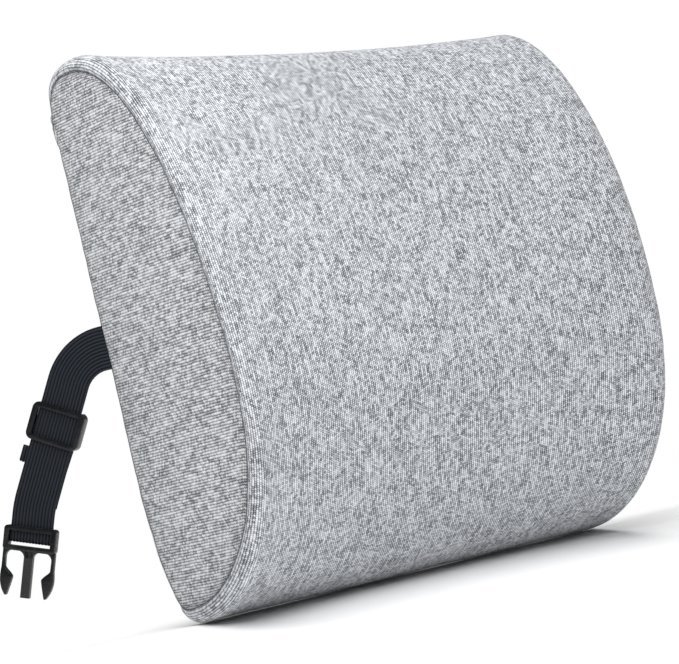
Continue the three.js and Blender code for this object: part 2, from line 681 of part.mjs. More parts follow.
// The left strap comes out of the rear left seam, and its root swings just outside the panel.
const SEAM_X = WIDTH / 2 + GAP;
const STRAP_Z = BOTTOM + STRAP_HEIGHT;
const left = new THREE.Group();
left.position.set(-SEAM_X, 0, STRAP_Z);
left.rotation.z = Math.PI - LEFT_SPLAY;
left.add(piece('left_strap', leftStrap(), paint.webbing));
left.add(piece('strap_end_loop', endLoop(), paint.webbing));
onStrap(left, GLIDE_PLACE).add(piece('tri_glide', triGlide(), paint.plastic));

const maleFrame = onStrap(left, BUCKLE_PLACE);
maleFrame.add(piece('male_buckle', maleBuckle(), paint.plastic));
for (const [name, side] of [['male_prong_left', 1], ['male_prong_right', -1]]) {
  const arm = piece(name, prong(side), paint.plastic);
  arm.position.set(side * (BUCKLE_WIDTH / 2), FRAME_MIDDLE, -FRAME_HALF - GAP);
  maleFrame.add(arm);
}
cushion.add(left);

// The right strap comes out of the rear right seam.
const right = new THREE.Group();
right.position.set(SEAM_X, 0, STRAP_Z);
right.rotation.z = RIGHT_SPLAY;
right.add(piece('right_strap', rightStrap(), paint.webbing));
onStrap(right, SOCKET_PLACE).add(piece('female_buckle', femaleBuckle(), paint.plastic));
cushion.add(right);

export default cushion;
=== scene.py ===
import math

import bmesh
import bpy
import numpy as np
from mathutils import Matrix, Quaternion, Vector, noise


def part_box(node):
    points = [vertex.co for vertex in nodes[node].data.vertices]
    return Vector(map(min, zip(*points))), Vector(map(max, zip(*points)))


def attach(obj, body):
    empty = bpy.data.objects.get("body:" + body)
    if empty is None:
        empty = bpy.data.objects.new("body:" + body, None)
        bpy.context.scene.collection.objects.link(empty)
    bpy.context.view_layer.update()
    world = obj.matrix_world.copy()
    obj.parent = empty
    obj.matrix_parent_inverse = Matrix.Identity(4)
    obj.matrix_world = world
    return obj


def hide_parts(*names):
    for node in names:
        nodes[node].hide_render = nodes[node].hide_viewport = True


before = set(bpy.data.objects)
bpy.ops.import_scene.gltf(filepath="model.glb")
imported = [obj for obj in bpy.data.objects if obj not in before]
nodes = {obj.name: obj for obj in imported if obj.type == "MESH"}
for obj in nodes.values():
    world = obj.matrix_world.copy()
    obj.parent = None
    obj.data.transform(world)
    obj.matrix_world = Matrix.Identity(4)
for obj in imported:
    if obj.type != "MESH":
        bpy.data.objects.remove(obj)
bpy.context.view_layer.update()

bpy.ops.object.select_all(action="DESELECT")

# ---- Camera and studio -------------------------------------------------------------------
# The camera stands left of the front at the cushion's foot, a little tilted. The floor is one
# pale sheet that falls away gently in front of the cushion and runs out to a pale surround,
# under a broad overhead light and a near soft lamp.

CAMERA_PLACE = (-0.9725, -1.1287, -0.14994)
CAMERA_TURN = math.radians(40.915)
CAMERA_RISE = math.radians(4.25)
CAMERA_ROLL = math.radians(-12.312)
CAMERA_LENS = 129.806

sight = Vector((
    math.sin(CAMERA_TURN) * math.cos(CAMERA_RISE),
    math.cos(CAMERA_TURN) * math.cos(CAMERA_RISE),
    math.sin(CAMERA_RISE),
))
camera_data = bpy.data.cameras.new("camera")
camera_data.sensor_width = 36
camera_data.lens = CAMERA_LENS
camera_data.clip_start = 0.05
camera = bpy.data.objects.new("camera", camera_data)
camera.location = CAMERA_PLACE
camera.rotation_mode = "QUATERNION"
camera.rotation_quaternion = (
    sight.to_track_quat("-Z", "Y") @ Quaternion((0, 0, 1), CAMERA_ROLL))
bpy.context.collection.objects.link(camera)
bpy.context.scene.camera = camera
bpy.context.scene.view_settings.view_transform = "Standard"


class Socket:
    """A node's output, so that shader maths reads as sums."""

    def __init__(self, tree, link):
        self.tree = tree
        self.link = link

    def maths(self, operation, *values):
        return self.tree.node("ShaderNodeMath", {"operation": operation}, *values)

    def __add__(self, other):
        return self.maths("ADD", self, other)

    def __sub__(self, other):
        return self.maths("SUBTRACT", self, other)

    def __rsub__(self, other):
        return self.maths("SUBTRACT", other, self)

    def __mul__(self, other):
        return self.maths("MULTIPLY", self, other)

    def __truediv__(self, other):
        return self.maths("DIVIDE", self, other)

    def __pow__(self, other):
        return self.maths("POWER", self, other)

    __radd__ = __add__
    __rmul__ = __mul__

    def wave(self):
        """From 0 to 1 and back each time the value grows by one."""
        return self.maths("SINE", self * (2 * math.pi)) * 0.5 + 0.5

    def kept(self):
        return self.maths("MAXIMUM", self.maths("MINIMUM", self, 1.0), 0.0)


class Finish:
    """A material whose nodes are added one by one, with a shader set to plain values."""

    def __init__(self, name, **plain):
        self.material = bpy.data.materials.new(name)
        self.material.use_nodes = True
        self.tree = self.material.node_tree
        self.shader = self.tree.nodes["Principled BSDF"]
        for socket, value in plain.items():
            self.shader.inputs[socket.replace("_", " ").title().replace("Ior", "IOR")
                               ].default_value = value

    def node(self, kind, settings, *values, out=0, **named):
        made = self.tree.nodes.new(kind)
        for key, value in settings.items():
            if key == "stops":
                ramp = made.color_ramp
                while len(ramp.elements) < len(value):
                    ramp.elements.new(0.5)
                for element, (place, colour) in zip(ramp.elements, value):
                    element.position = place
                    element.color = (*colour, 1)
            else:
                setattr(made, key, value)
        for key, value in [*enumerate(values), *named.items()]:
            socket = made.inputs[key]
            if isinstance(value, Socket):
                self.tree.links.new(value.link, socket)
            else:
                socket.default_value = value
        return Socket(self, made.outputs[out])

    def place(self, source):
        """The Object or UV coordinates and their three parts."""
        made = self.tree.nodes.new("ShaderNodeTexCoord")
        vector = Socket(self, made.outputs[source])
        split = self.tree.nodes.new("ShaderNodeSeparateXYZ")
        self.tree.links.new(vector.link, split.inputs[0])
        return vector, *[Socket(self, output) for output in split.outputs]

    def speckle(self, vector, scale, detail=2.0, rough=0.5):
        return self.node("ShaderNodeTexNoise", {}, Vector=vector, Scale=scale, Detail=detail,
                         Roughness=rough)

    def stretched(self, vector, scale):
        return self.node("ShaderNodeMapping", {}, Vector=vector, Scale=scale)

    def ramp(self, value, *stops):
        return self.node("ShaderNodeValToRGB", {"stops": stops}, value)

    def mix(self, factor, first, second):
        made = self.tree.nodes.new("ShaderNodeMix")
        made.data_type = "RGBA"
        for key, value in ((0, factor), (6, first), (7, second)):
            if isinstance(value, Socket):
                self.tree.links.new(value.link, made.inputs[key])
            elif key:
                made.inputs[key].default_value = (*value, 1)
            else:
                made.inputs[key].default_value = value
        return Socket(self, made.outputs[2])

    def connect(self, **links):
        for socket, value in links.items():
            name = socket.replace("_", " ").title()
            self.tree.links.new(value.link, self.shader.inputs[name])

    def bumped(self, height, distance, strength=1.0):
        self.connect(normal=self.node("ShaderNodeBump", {}, Strength=strength,
                                      Distance=distance, Height=height))


def choose_only(thing):
    bpy.ops.object.select_all(action="DESELECT")
    thing.select_set(True)
    bpy.context.view_layer.objects.active = thing


FLOOR_HALF = 40
FLOOR_FALL = math.tan(math.radians(10))
FLOOR_FOLD = -0.021
FLOOR_RISE = 0.0009  # the cushion's foot sinks in by this much
FLOOR_TONE = (0.95, 0.95, 0.95)
floor_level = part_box("front_panel")[0][2]
bpy.ops.mesh.primitive_grid_add(x_subdivisions=4, y_subdivisions=4, size=2 * FLOOR_HALF,
                                location=(0, FLOOR_FOLD, floor_level + FLOOR_RISE))
floor = bpy.context.object
floor.name = "floor"
bpy.ops.object.transform_apply(location=True)
for vertex in floor.data.vertices:
    vertex.co.z += FLOOR_FALL * min(vertex.co.y - FLOOR_FOLD, 0)
pale = Finish("pale_floor", base_color=(*FLOOR_TONE, 1), roughness=0.9)
place, *_ = pale.place("Object")
pale.connect(base_color=pale.ramp(pale.speckle(place, 9.0), (0.3, FLOOR_TONE),
                                  (0.7, (0.96, 0.96, 0.96))))
floor.data.materials.append(pale.material)

# The surround looks white and lights the object dimly.
AMBIENT = 0.16
world = bpy.data.worlds.new("surround")
world.use_nodes = True
background = world.node_tree.nodes["Background"]
background.inputs["Color"].default_value = (1, 1, 1, 1)
seen = world.node_tree.nodes.new("ShaderNodeLightPath")
brightness = world.node_tree.nodes.new("ShaderNodeMapRange")
brightness.inputs["To Min"].default_value = AMBIENT
brightness.inputs["To Max"].default_value = 1.0
world.node_tree.links.new(seen.outputs["Is Camera Ray"], brightness.inputs["Value"])
world.node_tree.links.new(brightness.outputs["Result"], background.inputs["Strength"])
bpy.context.scene.world = world


def lamp(name, kind, place, aim, power, **sizes):
    data = bpy.data.lights.new(name, kind)
    data.energy = power
    for key, value in sizes.items():
        setattr(data, key, value)
    made = bpy.data.objects.new(name, data)
    made.location = place
    made.rotation_mode = "QUATERNION"
    made.rotation_quaternion = (Vector(aim) - Vector(place)).to_track_quat("-Z", "Y")
    made.visible_camera = False
    bpy.context.collection.objects.link(made)


OVERHEAD_STRENGTH, OVERHEAD_SPREAD = 3.0, math.radians(60)
KEY_POWER, KEY_SIZE = 2.1, 0.25
lamp("overhead", "SUN", (-0.15, -0.2, 2.0), (0, 0, 0), OVERHEAD_STRENGTH,
     angle=OVERHEAD_SPREAD)
lamp("key", "AREA", (-0.45, -0.44, 0.25), (-0.05, 0, 0.0), KEY_POWER, size=KEY_SIZE)

# ---- Cushion form ------------------------------------------------------------------------
# The foam and the cover share one D-shaped form: flat at the back, bellied low down at the
# front, hollowed across the width and rounded over for 9 mm towards each side seam.

WIDTH, HEIGHT, DEPTH = 0.340, 0.328, 0.118
TOP_CORNER = 0.025
CORNER_SQUARENESS = 0.7
HEEL_DEPTH, HEEL_HEIGHT = 0.021, 0.081
BELLY_HEIGHT = 0.123
EDGE_RADIUS = 0.009
HOLLOW, TOP_DIP, FLARE = 0.022, 0.005, 0.0046
ZIP_TURN = math.radians(25)
SEAM_DROP = 0.003
ARC_STEPS = 400
bottom = floor_level
middle = bottom + HEIGHT / 2
heel, belly, corner = bottom + HEEL_HEIGHT, bottom + BELLY_HEIGHT, bottom + HEIGHT - TOP_CORNER


def quarter(centre, radii, start, stop, squareness=1.0):
    angle = np.linspace(math.radians(start), math.radians(stop), ARC_STEPS)
    aside, upward = np.cos(angle), np.sin(angle)
    return np.stack([centre[0] + radii[0] * np.sign(aside) * np.abs(aside) ** squareness,
                     centre[1] + radii[1] * np.sign(upward) * np.abs(upward) ** squareness], 1)


# The side outline as (depth, height), from the zipper forwards and round to it again.
zip_angle = -90 - math.degrees(ZIP_TURN)
outline = np.concatenate([
    quarter((HEEL_DEPTH, heel), (HEEL_DEPTH, HEEL_HEIGHT), zip_angle, -90),
    quarter((HEEL_DEPTH, belly), (DEPTH - HEEL_DEPTH, BELLY_HEIGHT), -90, 0),
    quarter((TOP_CORNER, belly), (DEPTH - TOP_CORNER, HEIGHT - BELLY_HEIGHT), 0, 90),
    quarter((TOP_CORNER, corner), (TOP_CORNER, TOP_CORNER), 90, 180, CORNER_SQUARENESS),
    quarter((HEEL_DEPTH, heel), (HEEL_DEPTH, HEEL_HEIGHT), 180, 360 + zip_angle),
])
outline_run = np.concatenate([[0], np.cumsum(np.linalg.norm(np.diff(outline, axis=0), axis=1))])
full_run = outline_run[-1]
top_row = next(i for i in range(3 * ARC_STEPS, len(outline)) if outline[i][1] < corner - SEAM_DROP)
top_run = outline_run[top_row - 1] + (outline[top_row - 1][1] - corner + SEAM_DROP)


def smooth(value):
    kept = min(max(value, 0.0), 1.0)
    return kept * kept * (3 - 2 * kept)


def form_point(turn, x, run):
    """A point of the form: turn is the round-over at the side, from 0 to a quarter turn."""
    depth = np.interp(run, outline_run, outline[:, 0])
    rise = np.interp(run, outline_run, outline[:, 1]) - middle
    closed = EDGE_RADIUS * (1 - math.cos(turn))
    depth *= 1 - closed / DEPTH
    rise *= 1 - closed / (HEIGHT / 2)
    centred = 1 - (2 * x / WIDTH) ** 2
    hollow = HOLLOW * centred * smooth((depth - HEEL_DEPTH) / (DEPTH - HEEL_DEPTH))
    dip = TOP_DIP * centred * smooth(rise / (HEIGHT / 2))
    flare = FLARE * (rise / (HEIGHT / 2)) * (x / (WIDTH / 2))
    return Vector((x + flare, -(depth - hollow), middle + rise - dip))


# ---- Cover -------------------------------------------------------------------------------
# A zipped cover of light grey heathered cloth: one front panel that wraps the belly, top and
# underside, a back panel and two D-shaped side panels, sewn together inside out and turned.
# It is simulated in one piece, as cloth pressed out by the foam, then parted at the seams.

ZIP_HALF = 0.1455
SLOT_HALF = 0.0042
ROUND_STEPS, END_STEPS, ZIP_STEPS = 4, 4, 64
FRONT_STEPS, BACK_STEPS, CAP_STEPS = 103, 59, 22
SPREADING = 900
FRONT, BACK, LEFT, RIGHT, SLOT = range(5)

edge = WIDTH / 2 - EDGE_RADIUS
turns = [math.pi / 2 * (1 - i / ROUND_STEPS) for i in range(ROUND_STEPS)]
columns = [(turn, -edge - EDGE_RADIUS * math.sin(turn)) for turn in turns]
columns += [(0, x) for x in np.linspace(-edge, -ZIP_HALF, END_STEPS + 1)[:-1]]
columns += [(0, x) for x in np.linspace(-ZIP_HALF, ZIP_HALF, ZIP_STEPS + 1)[:-1]]
columns += [(0, x) for x in np.linspace(ZIP_HALF, edge, END_STEPS + 1)]
columns += [(turn, -x) for turn, x in columns[:ROUND_STEPS][::-1]]
runs = [0.0, *np.linspace(SLOT_HALF, top_run, FRONT_STEPS + 1),
        *np.linspace(top_run, full_run - SLOT_HALF, BACK_STEPS + 1)[1:]]
last_column = len(columns) - 1
front_rows = 1 + FRONT_STEPS


def across_run(turn, x):
    return math.copysign(min(abs(x), edge) + EDGE_RADIUS * turn, x)


body = bmesh.new()
uv = body.loops.layers.uv.new("UVMap")
sewn = body.verts.layers.deform.new()
grid = [[body.verts.new(form_point(turn, x, run)) for turn, x in columns] for run in runs]


def add_face(corners, places, region):
    face = body.faces.new(corners)
    face.material_index = region
    face.smooth = True
    for loop, place in zip(face.loops, places):
        loop[uv].uv = place


for i, run in enumerate(runs):
    after = (i + 1) % len(runs)
    for j in range(last_column):
        in_slot = i in (0, len(runs) - 1) and max(abs(columns[j][1]),
                                                  abs(columns[j + 1][1])) < ZIP_HALF + 1e-6
        region = SLOT if in_slot else FRONT if i < front_rows else BACK
        across = [across_run(*columns[k]) for k in (j, j + 1, j + 1, j)]
        along = [run, run, runs[after] or full_run, runs[after] or full_run]
        add_face((grid[i][j], grid[i][j + 1], grid[after][j + 1], grid[after][j]),
                 list(zip(across, along)), region)


def side_cap(column, region):
    """Fills a side from its four edges: underside, front, top and back."""
    ring = [row[column] for row in grid]
    count = len(ring)
    tall = (count - 2 * CAP_STEPS) // 2
    patch = [[None] * (CAP_STEPS + 1) for _ in range(tall + 1)]
    for j in range(CAP_STEPS + 1):
        patch[0][j] = ring[j]
        patch[tall][j] = ring[2 * CAP_STEPS + tall - j]
    for i in range(tall + 1):
        patch[i][0] = ring[-i]
        patch[i][CAP_STEPS] = ring[CAP_STEPS + i]
    centre = sum((vertex.co for vertex in ring), Vector()) / count
    spread = np.array([[vertex.co if vertex else centre for vertex in row] for row in patch])
    for _ in range(SPREADING):
        spread[1:-1, 1:-1] = (spread[:-2, 1:-1] + spread[2:, 1:-1]
                              + spread[1:-1, :-2] + spread[1:-1, 2:]) / 4
    for i in range(1, tall):
        for j in range(1, CAP_STEPS):
            patch[i][j] = body.verts.new(spread[i, j])
    for i in range(tall):
        for j in range(CAP_STEPS):
            corners = [patch[i][j], patch[i][j + 1], patch[i + 1][j + 1], patch[i + 1][j]]
            add_face(corners, [(vertex.co.z, vertex.co.y) for vertex in corners], region)


side_cap(0, LEFT)
side_cap(last_column, RIGHT)
bmesh.ops.recalc_face_normals(body, faces=body.faces)
for i, row in enumerate(grid):
    for j, vertex in enumerate(row):
        if j in (0, last_column) or i in (0, 1, front_rows, len(runs) - 1):
            vertex[sewn][0] = 1.0
cover_mesh = bpy.data.meshes.new("cover")
body.to_mesh(cover_mesh)
body.free()
cover = bpy.data.objects.new("cover", cover_mesh)
bpy.context.collection.objects.link(cover)
cover.vertex_groups.new(name="sewn")
PRESSED_IN, PRESSED_OUT = 0.0014, 0.0024


def positions(mesh):
    flat = np.empty(3 * len(mesh.vertices), np.float32)
    mesh.vertices.foreach_get("co", flat)
    return flat.reshape(-1, 3)


def put(mesh, points):
    mesh.vertices.foreach_set("co", np.asarray(points, np.float32).ravel())
    mesh.update()


def normals(mesh):
    flat = np.empty(3 * len(mesh.vertices), np.float32)
    mesh.vertex_normals.foreach_get("vector", flat)
    return flat.reshape(-1, 3)


SOFTENING = 12


def soft_normals(mesh):
    """Normals blended with their neighbours', so that close rows never cross at an edge."""
    ends = np.array([line.vertices[:] for line in mesh.edges])
    count = 1 + np.bincount(ends.ravel(), minlength=len(mesh.vertices))[:, None]
    blended = normals(mesh)
    for _ in range(SOFTENING):
        total = blended.copy()
        np.add.at(total, ends[:, 0], blended[ends[:, 1]])
        np.add.at(total, ends[:, 1], blended[ends[:, 0]])
        blended = total / count
    return blended


CLOTH_MASS, CLOTH_STIFFNESS, CLOTH_BENDING = 0.3, 20, 0.6
CLOTH_PRESSURE, CLOTH_FRAMES = 4, 20
put(cover_mesh, positions(cover_mesh) - PRESSED_IN * soft_normals(cover_mesh))
rest_points = positions(cover_mesh)
choose_only(cover)
bpy.ops.object.modifier_add(type="CLOTH")
cloth = cover.modifiers[-1]
cloth.settings.quality = 4
cloth.settings.mass = CLOTH_MASS
cloth.settings.tension_stiffness = CLOTH_STIFFNESS
cloth.settings.compression_stiffness = CLOTH_STIFFNESS
cloth.settings.bending_stiffness = CLOTH_BENDING
cloth.settings.use_pressure = True
cloth.settings.uniform_pressure_force = CLOTH_PRESSURE
cloth.settings.vertex_group_mass = "sewn"
cloth.settings.effector_weights.gravity = 0
cloth.collision_settings.use_collision = False
cloth.point_cache.frame_end = CLOTH_FRAMES
for step in range(1, CLOTH_FRAMES + 1):
    bpy.context.scene.frame_set(step)
view = bpy.context.evaluated_depsgraph_get()
moved = positions(cover.evaluated_get(view).data)
cover.modifiers.remove(cloth)
bpy.context.scene.frame_set(1)

# The foam keeps the cloth from moving inwards, and its outward motion is limited.
shift = moved - rest_points
outward = soft_normals(cover_mesh)
outward /= np.linalg.norm(outward, axis=1, keepdims=True)
shift -= np.minimum((shift * outward).sum(axis=1, keepdims=True), 0) * outward
length = np.linalg.norm(shift, axis=1, keepdims=True) + 1e-9
shift *= PRESSED_OUT * np.tanh(length / PRESSED_OUT) / length
# The back's bulge dies away towards the side seams.
BACK_MARGIN, BACK_FADE = 0.002, 0.03
behind = shift[:, 1] > 0
flat_edge = np.clip((WIDTH / 2 - BACK_MARGIN - np.abs(rest_points[:, 0])) / BACK_FADE, 0, 1)
shift[behind, 1] *= flat_edge[behind]
put(cover_mesh, rest_points + shift)

choose_only(cover)
bpy.ops.object.modifier_add(type="SUBSURF")
cover.modifiers[-1].levels = cover.modifiers[-1].render_levels = 1
bpy.ops.object.modifier_apply(modifier=cover.modifiers[-1].name)

# The seams draw the cloth in, and the thread's pull puckers it beside them.
GROOVE_DEPTH, GROOVE_HALF = 0.0011, 0.0016
PUCKER, PUCKER_REACH, PUCKER_PITCH = 0.00055, 0.009, 0.011
SWELL, SWELL_PITCH, SWELL_FADE = 0.0005, 0.05, 0.02
SHADE_REACH = 0.0035
owners = {}
for polygon in cover_mesh.polygons:
    for vertex in polygon.vertices:
        owners.setdefault(vertex, set()).add(min(polygon.material_index, SLOT))
points = positions(cover_mesh)
seam_points = points[[v for v, regions in owners.items() if len(regions - {SLOT}) > 1]]
to_seam = np.array([np.sqrt(((seam_points - point) ** 2).sum(1).min()) for point in points])
swell = np.array([noise.noise(Vector(point) / SWELL_PITCH) for point in points])
pucker = np.array([noise.noise(Vector(point) / PUCKER_PITCH) for point in points])
lift = (SWELL * swell * (1 - np.exp(-to_seam / SWELL_FADE))
        + PUCKER * pucker * np.exp(-to_seam / PUCKER_REACH)
        - GROOVE_DEPTH * np.exp(-(to_seam / GROOVE_HALF) ** 2))
points += lift[:, None] * soft_normals(cover_mesh)
put(cover_mesh, points)
# How close each point lies to a seam, used by the cloth's colour to lay painted shade and some
# grime beside the seams.
beside_seam = cover_mesh.attributes.new("beside_seam", "FLOAT", "POINT")
beside_seam.data.foreach_set("value", np.exp(-to_seam / SHADE_REACH).astype(np.float32))

RIB, PICK = 0.0016, 0.0013


def heathered(name, dark, light, painted_band_shade):
    """Light grey cloth with ribs along the UV map's second direction, of mixed yarns, darkened
    beside the seams by painted shade and some grime.
    """
    cloth = Finish(name, roughness=0.9, sheen_weight=0.2, sheen_roughness=0.5,
                   specular_ior_level=0.2)
    place, across, along, _ = cloth.place("UV")
    wander = cloth.speckle(place, 90.0, 1.0) * 0.3
    rib = across / RIB + wander
    row = rib.maths("FLOOR", rib)
    pick = along / PICK + row * 0.5 + wander
    crossing = cloth.node("ShaderNodeCombineXYZ", {}, row, pick.maths("FLOOR", pick), 0.0)
    yarn = cloth.node("ShaderNodeTexWhiteNoise", {"noise_dimensions": "2D"}, Vector=crossing)
    longer = cloth.node("ShaderNodeCombineXYZ", {}, row, pick.maths("FLOOR", pick / 4.0), 0.0)
    float_yarn = cloth.node("ShaderNodeTexWhiteNoise", {"noise_dimensions": "2D"}, Vector=longer)
    ribs, picks = (rib - 0.25).wave(), (pick - 0.25).wave()
    cloud = cloth.speckle(place, 28.0, 3.0, 0.6)
    height = ribs * 0.6 + picks * 0.4
    shade = (yarn * 0.45 + float_yarn * 0.3 + height * 0.85 + cloud * 0.1 - 0.35).kept()
    half = tuple((a + b) / 2 for a, b in zip(dark, light))
    colour = cloth.ramp(shade, (0.12, dark), (0.5, half), (0.88, light))
    # Painted shade: near the seams the colour is mixed towards a quarter of the dark tone. A
    # narrow band on every panel is painted seam shade and grime, and a wider band, as strong as
    # the panel asks, is painted shade.
    seam = cloth.node("ShaderNodeAttribute", {"attribute_name": "beside_seam"}, out=2)
    cloth.connect(base_color=cloth.mix(seam * 0.25 + seam ** 0.3 * painted_band_shade, colour,
                                       tuple(0.25 * c for c in dark)),
                  roughness=0.8 + shade * 0.15)
    cloth.bumped(height * 0.8 + yarn * 0.3, 0.0005, 0.9)
    return cloth.material


# Per panel: the dark and light yarn tones, and the strength of the painted shade band beside its
# seams. The side panels are the same cloth as the front; their darker light tone is painted shade
# for the lesser light that reaches them.
PANELS = (("front_panel", "front_fabric", (0.05, 0.058, 0.07), (0.93, 0.955, 1.0), 0.16),
          ("back_panel", "back_fabric", (0.06, 0.065, 0.075), (0.84, 0.855, 0.875), 0.0),
          ("left_side_panel", "side_fabric", (0.05, 0.055, 0.065), (0.74, 0.755, 0.78), 0.05),
          ("right_side_panel", "side_fabric", (0.05, 0.055, 0.065), (0.74, 0.755, 0.78), 0.05))
for node, _, *tones in PANELS:
    cover_mesh.materials.append(heathered(node + "_cloth", *tones))
cover_mesh.materials.append(bpy.data.materials.new("slot"))
choose_only(cover)
bpy.ops.object.mode_set(mode="EDIT")
bpy.ops.mesh.separate(type="MATERIAL")
bpy.ops.object.mode_set(mode="OBJECT")
CLOTH_THICKNESS = 0.0012
parted = {piece.data.materials[0].name: piece for piece in bpy.context.selected_objects}
bpy.data.objects.remove(parted.pop("slot"))
for node, slot, *_ in PANELS:
    panel = parted[node + "_cloth"]
    panel.name = node + "_cover"
    choose_only(panel)
    bpy.ops.object.modifier_add(type="SOLIDIFY")
    panel.modifiers[-1].thickness = CLOTH_THICKNESS
    panel.modifiers[-1].offset = -1
    bpy.ops.object.modifier_apply(modifier=panel.modifiers[-1].name)
    panel.vertex_groups.clear()
    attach(panel, "cushion")
    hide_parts(node)

# ---- Seam thread -------------------------------------------------------------------------
# Polyester thread shows in the groove of each side seam, where it draws the front and back panels
# to the side panel. Its dark tone is partly the thread's own and partly painted shade along the
# seam groove.

THREAD = 0.00022
thread_finish = Finish("thread", roughness=0.8, specular_ior_level=0.3)
place, *_ = thread_finish.place("Object")
twist = thread_finish.speckle(place, 900.0, 1.0)
thread_finish.connect(base_color=thread_finish.ramp(twist, (0.3, (0.05, 0.052, 0.06)),
                                                    (0.7, (0.13, 0.135, 0.15))))
thread_finish.bumped(twist, 0.0002)
for name, region in (("left_seam_thread", LEFT), ("right_seam_thread", RIGHT)):
    seam = points[[v for v, regions in owners.items() if region in regions and len(regions) > 1]]
    centre = seam.mean(axis=0)
    seam = seam[np.argsort(np.arctan2(seam[:, 2] - centre[2], seam[:, 1] - centre[1]))]
    curve = bpy.data.curves.new(name, "CURVE")
    curve.dimensions = "3D"
    curve.bevel_depth = THREAD
    curve.bevel_resolution = 1
    spline = curve.splines.new("POLY")
    spline.use_cyclic_u = True
    spline.points.add(len(seam) - 1)
    for knot, point in zip(spline.points, seam):
        knot.co = (*point, 1)
    curve.materials.append(thread_finish.material)
    thread = bpy.data.objects.new(name, curve)
    bpy.context.collection.objects.link(thread)
    choose_only(thread)
    bpy.ops.object.convert(target="MESH")
    thread = bpy.context.object
    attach(thread, "cushion")

# ---- Foam core ---------------------------------------------------------------------------
# One block of slow-recovery polyurethane foam, moulded to the cushion's form and fully hidden
# by the zipped cover. It is open-celled, off-white and a little uneven.

FOAM_GAP = 0.0045
foam_mesh = bmesh.new()
foam_grid = [[foam_mesh.verts.new(form_point(turn, x, run)) for turn, x in columns[::2]]
             for run in runs[::2]]
for i in range(len(foam_grid)):
    for j in range(len(foam_grid[0]) - 1):
        after = (i + 1) % len(foam_grid)
        foam_mesh.faces.new((foam_grid[i][j], foam_grid[i][j + 1], foam_grid[after][j + 1],
                             foam_grid[after][j])).smooth = True
for column in (0, -1):
    foam_mesh.faces.new([row[column] for row in foam_grid])
bmesh.ops.triangulate(foam_mesh, faces=[f for f in foam_mesh.faces if len(f.verts) > 4])
bmesh.ops.recalc_face_normals(foam_mesh, faces=foam_mesh.faces)
foam_data = bpy.data.meshes.new("foam_block")
foam_mesh.to_mesh(foam_data)
foam_mesh.free()
foam = bpy.data.objects.new("foam_block", foam_data)
bpy.context.collection.objects.link(foam)
put(foam_data, positions(foam_data) - FOAM_GAP * normals(foam_data))
foam_finish = Finish("open_cell_foam", roughness=0.95)
place, *_ = foam_finish.place("Object")
cells = foam_finish.node("ShaderNodeTexVoronoi", {}, Vector=place, Scale=900.0)
foam_finish.connect(base_color=foam_finish.ramp(cells, (0.1, (0.70, 0.65, 0.54)),
                                                (0.6, (0.90, 0.87, 0.78))))
foam_finish.bumped(cells, 0.0006)
foam_data.materials.append(foam_finish.material)
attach(foam, "cushion")
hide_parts("foam_core")

# ---- Zipper ------------------------------------------------------------------------------
# A closed nylon coil zipper along the rear of the underside: two woven tapes sewn behind the
# slot, a coil on each, a stop at both ends, and a lacquered zinc slider with its pull tab.

tape_finish = Finish("zip_tape_weave", roughness=0.9, sheen_weight=0.2)
_, x, y, z = tape_finish.place("Object")
weave = (x / 0.0009).wave() * 0.5 + ((z + y) / 0.0007 + (x / 0.0018)).wave() * 0.5
tape_finish.connect(base_color=tape_finish.ramp(weave, (0.2, (0.17, 0.18, 0.19)),
                                                (0.8, (0.36, 0.37, 0.39))))
tape_finish.bumped(weave, 0.0002)
zinc_finish = Finish("lacquered_zinc", metallic=0.9, roughness=0.32, coat_weight=0.3)
place, *_ = zinc_finish.place("Object")
haze = zinc_finish.speckle(place, 700.0, 3.0)
wear = zinc_finish.speckle(place, 160.0, 3.0)
zinc_finish.connect(base_color=zinc_finish.ramp(wear, (0.35, (0.30, 0.31, 0.33)),
                                                (0.7, (0.46, 0.47, 0.48))),
                    roughness=0.24 + haze * 0.3)
zinc_finish.bumped(haze, 0.00008)
for name, finish in (("zip_tape_lower", tape_finish), ("zip_tape_upper", tape_finish),
                     ("zip_stop_left", zinc_finish), ("zip_stop_right", zinc_finish),
                     ("zip_slider", zinc_finish), ("zip_pull_tab", zinc_finish)):
    for slot in nodes[name].material_slots:
        slot.material = finish.material

